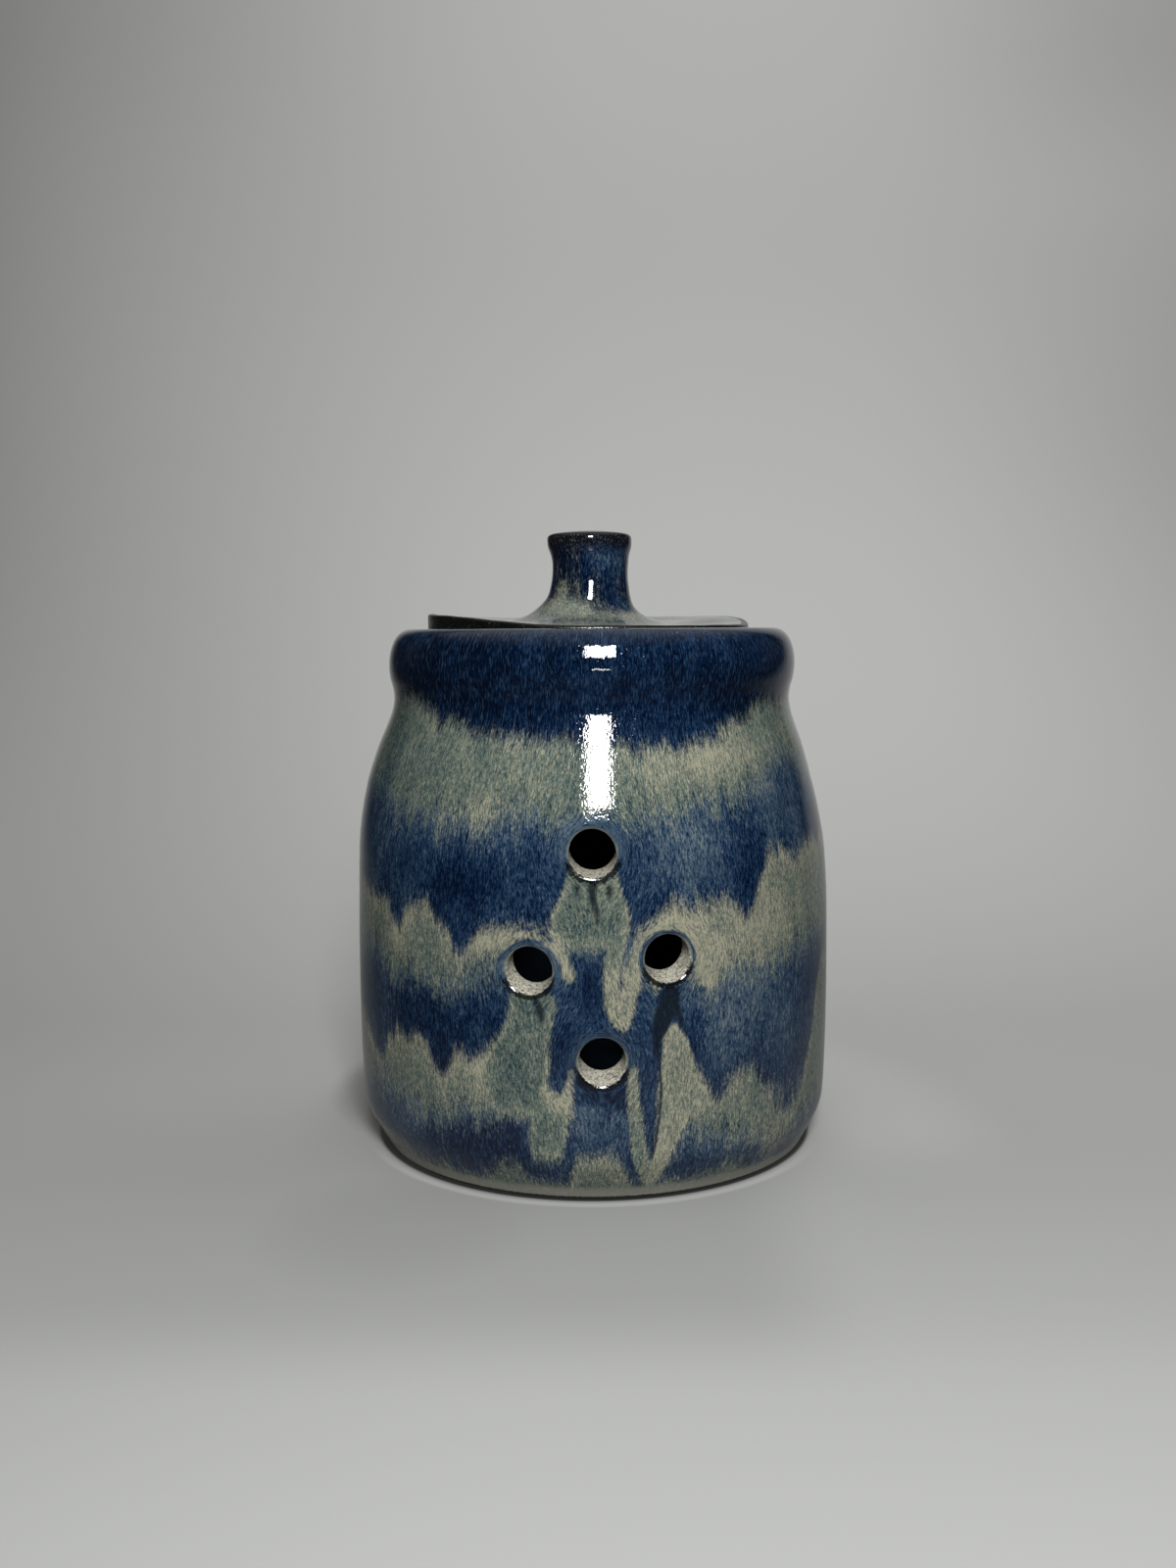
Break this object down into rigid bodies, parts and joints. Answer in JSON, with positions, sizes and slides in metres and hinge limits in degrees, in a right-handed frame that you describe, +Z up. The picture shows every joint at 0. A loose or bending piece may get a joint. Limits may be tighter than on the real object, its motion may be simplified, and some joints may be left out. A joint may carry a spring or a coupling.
{
  "type": "garlic keeper",
  "caption": "Wheel-thrown glazed stoneware jar with a collar and vent holes through its wall, and a drop-in lid with a spool knob, for keeping garlic.",
  "frame": {"origin": "middle of the foot, on the surface that the jar stands on", "axes": "+Z up along the jar's axis of throwing; -Y points out of the front, the side with the vents that the jar is looked at from; +X is to the right seen from the front"},
  "size_m": [0.1176, 0.1176, 0.15],
  "materials": {
    "jar_glaze": "gloss, navy and sage bands that run into each other",
    "lid_glaze": "gloss on top and knob, bare dark clay at the edge and below"
  },
  "bodies": {
    "jar": {"jar": "jar_glaze"},
    "lid": {"lid": "lid_glaze"}
  },
  "joints": [
    {"name": "lid_lift", "type": "slide", "parent": "jar", "child": "lid", "axis": [0, 0, 1], "range_m": [0, 0.06]}
  ]
}
